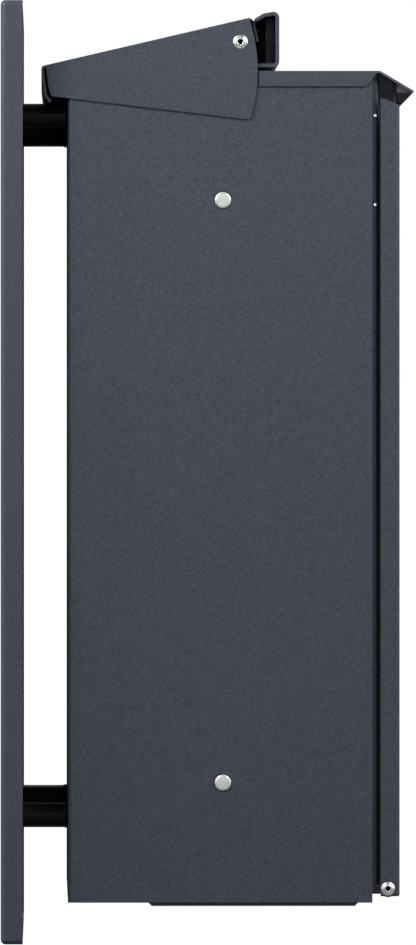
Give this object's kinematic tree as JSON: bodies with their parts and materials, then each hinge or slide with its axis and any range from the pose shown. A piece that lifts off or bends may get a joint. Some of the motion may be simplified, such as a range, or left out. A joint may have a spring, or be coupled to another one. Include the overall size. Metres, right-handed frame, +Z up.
{
  "type": "cluster mailbox unit",
  "caption": "Wall-hung cluster of letterboxes on one back panel, each with a sloped hood and lifting letter flap on top and a bottom-hinged front door with a cam lock.",
  "frame": {"origin": "centre of the back panel's rear face, on the wall", "axes": "+Z up, -Y out of the wall towards the person at the doors, +X to that person's right along the row of boxes"},
  "size_m": [0.56, 0.2069, 0.4716],
  "materials": {
    "powder_coat": "fine-textured anthracite grey powder coat",
    "black_tube": "satin black",
    "black_rubber": "matt",
    "zinc_steel": "zinc plated",
    "satin_plug": "satin, flat face with a bevelled rim",
    "rivet_metal": "bright, lightly brushed",
    "nylon": "matt",
    "lock_chrome": "polished",
    "black_plastic": "fine grain",
    "card": "blank white card",
    "clear_window": "clear"
  },
  "bodies": {
    "frame": {"back_panel": "powder_coat", "spacers": "black_tube", "spacer_gaskets": "black_rubber", "clinch_nuts": "zinc_steel", "box_washers": "zinc_steel", "box_bolts": "zinc_steel", "joining_sleeves": "zinc_steel", "joining_screws": "zinc_steel", "joining_nuts": "zinc_steel", "side_plugs": "satin_plug", "housing_left": "powder_coat", "floor_pan_left": "powder_coat", "roof_left": "powder_coat", "hood_left": "powder_coat", "front_frame_left": "powder_coat", "frame_rivets_left": "rivet_metal", "letter_guard_left": "powder_coat", "flap_rivets_left": "rivet_metal", "flap_bumpers_left": "black_rubber", "hinge_washers_left": "nylon", "door_rivets_left": "rivet_metal", "housing_right": "powder_coat", "floor_pan_right": "powder_coat", "roof_right": "powder_coat", "hood_right": "powder_coat", "front_frame_right": "powder_coat", "frame_rivets_right": "rivet_metal", "letter_guard_right": "powder_coat", "flap_rivets_right": "rivet_metal", "flap_bumpers_right": "black_rubber", "hinge_washers_right": "nylon", "door_rivets_right": "rivet_metal"},
    "flap_left": {"flap_left": "powder_coat", "flap_brackets_left": "powder_coat"},
    "door_left": {"door_left": "powder_coat", "lock_barrel_left": "lock_chrome", "lock_nut_left": "zinc_steel", "name_frame_left": "black_plastic", "name_card_left": "card", "name_window_left": "clear_window"},
    "lock_left": {"lock_plug_left": "lock_chrome", "lock_cam_left": "zinc_steel", "cam_screw_left": "zinc_steel"},
    "flap_right": {"flap_right": "powder_coat", "flap_brackets_right": "powder_coat"},
    "door_right": {"door_right": "powder_coat", "lock_barrel_right": "lock_chrome", "lock_nut_right": "zinc_steel", "name_frame_right": "black_plastic", "name_card_right": "card", "name_window_right": "clear_window"},
    "lock_right": {"lock_plug_right": "lock_chrome", "lock_cam_right": "zinc_steel", "cam_screw_right": "zinc_steel"}
  },
  "joints": [
    {"name": "flap_hinge_left", "type": "hinge", "parent": "frame", "child": "flap_left", "pos_m": [-0.131, -0.1199, 0.21535], "axis": [-1, 0, 0], "range_deg": [0, 60]},
    {"name": "door_hinge_left", "type": "hinge", "parent": "frame", "child": "door_left", "pos_m": [-0.131, -0.1938, -0.2084], "axis": [1, 0, 0], "range_deg": [0, 95]},
    {"name": "lock_turn_left", "type": "hinge", "parent": "door_left", "child": "lock_left", "pos_m": [-0.131, -0.195, 0.14], "axis": [0, -1, 0], "range_deg": [0, 90]},
    {"name": "flap_hinge_right", "type": "hinge", "parent": "frame", "child": "flap_right", "pos_m": [0.131, -0.1199, 0.21535], "axis": [-1, 0, 0], "range_deg": [0, 60]},
    {"name": "door_hinge_right", "type": "hinge", "parent": "frame", "child": "door_right", "pos_m": [0.131, -0.1938, -0.2084], "axis": [1, 0, 0], "range_deg": [0, 95]},
    {"name": "lock_turn_right", "type": "hinge", "parent": "door_right", "child": "lock_right", "pos_m": [0.131, -0.195, 0.14], "axis": [0, -1, 0], "range_deg": [0, 90]}
  ]
}
